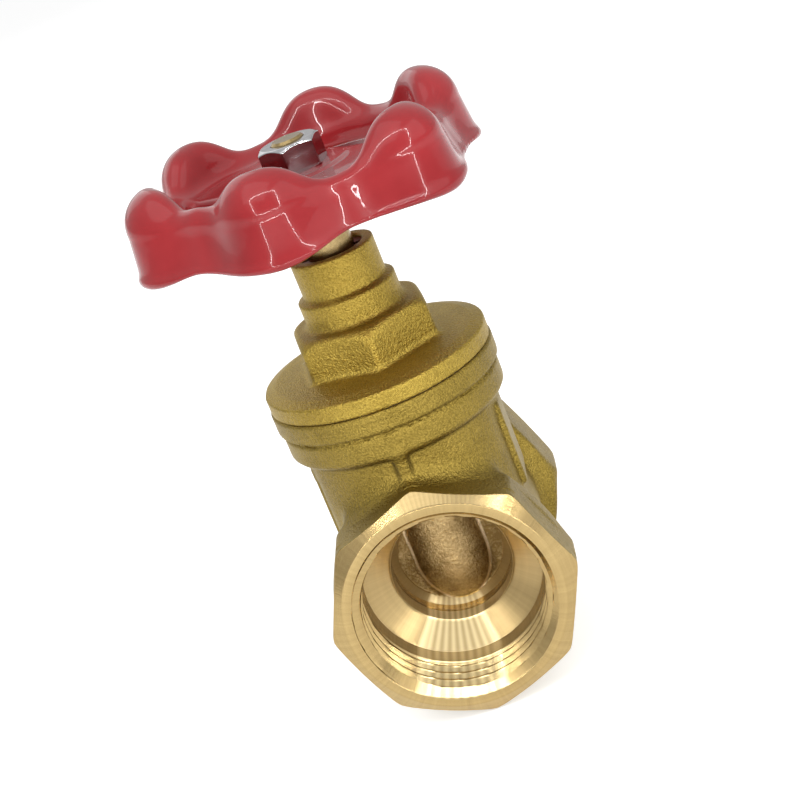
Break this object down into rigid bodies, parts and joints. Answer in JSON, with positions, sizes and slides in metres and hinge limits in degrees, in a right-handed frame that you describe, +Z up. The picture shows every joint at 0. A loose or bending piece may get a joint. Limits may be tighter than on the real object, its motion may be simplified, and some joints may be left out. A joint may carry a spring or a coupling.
{
  "type": "gate valve",
  "caption": "Brass gate valve with octagonal female-threaded ends, a hexagon bonnet and a lobed red handwheel on a non-rising stem that raises a wedge gate.",
  "frame": {"origin": "below the stem axis, on the level of the lowest corners of the two octagonal ends", "axes": "+Z up along the stem, Y along the pipe with the inlet at -Y, X across"},
  "size_m": [0.0572, 0.0594, 0.0984],
  "materials": {
    "forged_brass": "sandblasted, fine sparkling grain",
    "turned_brass": "turned bright",
    "gasket_fibre": "matt",
    "white_ptfe": "waxy",
    "packing": "matt",
    "red_coating": "glossy dipped coating",
    "nut_chrome": "bright plated"
  },
  "bodies": {
    "body": {"valve_body": "forged_brass", "bonnet": "forged_brass", "bonnet_gasket": "gasket_fibre", "lower_thrust_washer": "white_ptfe", "upper_thrust_washer": "white_ptfe", "packing_ring_lower": "packing", "packing_ring_middle": "packing", "packing_ring_upper": "packing", "gland_follower": "turned_brass", "gland_nut": "turned_brass"},
    "stem_set": {"stem": "turned_brass", "handwheel": "red_coating", "handwheel_nut": "nut_chrome"},
    "gate": {"gate_wedge": "forged_brass"}
  },
  "joints": [
    {"name": "stem_turn", "type": "hinge", "parent": "body", "child": "stem_set", "pos_m": [0, 0, 0.08111], "axis": [0, 0, 1], "range_deg": [0, 2712]},
    {"name": "gate_slide", "type": "slide", "parent": "body", "child": "gate", "axis": [0, 0, 1], "range_m": [0, 0.0227]}
  ],
  "couplings": [
    {"joint": "gate_slide", "follows": "stem_turn", "m_per_rad": 0.00047746}
  ]
}
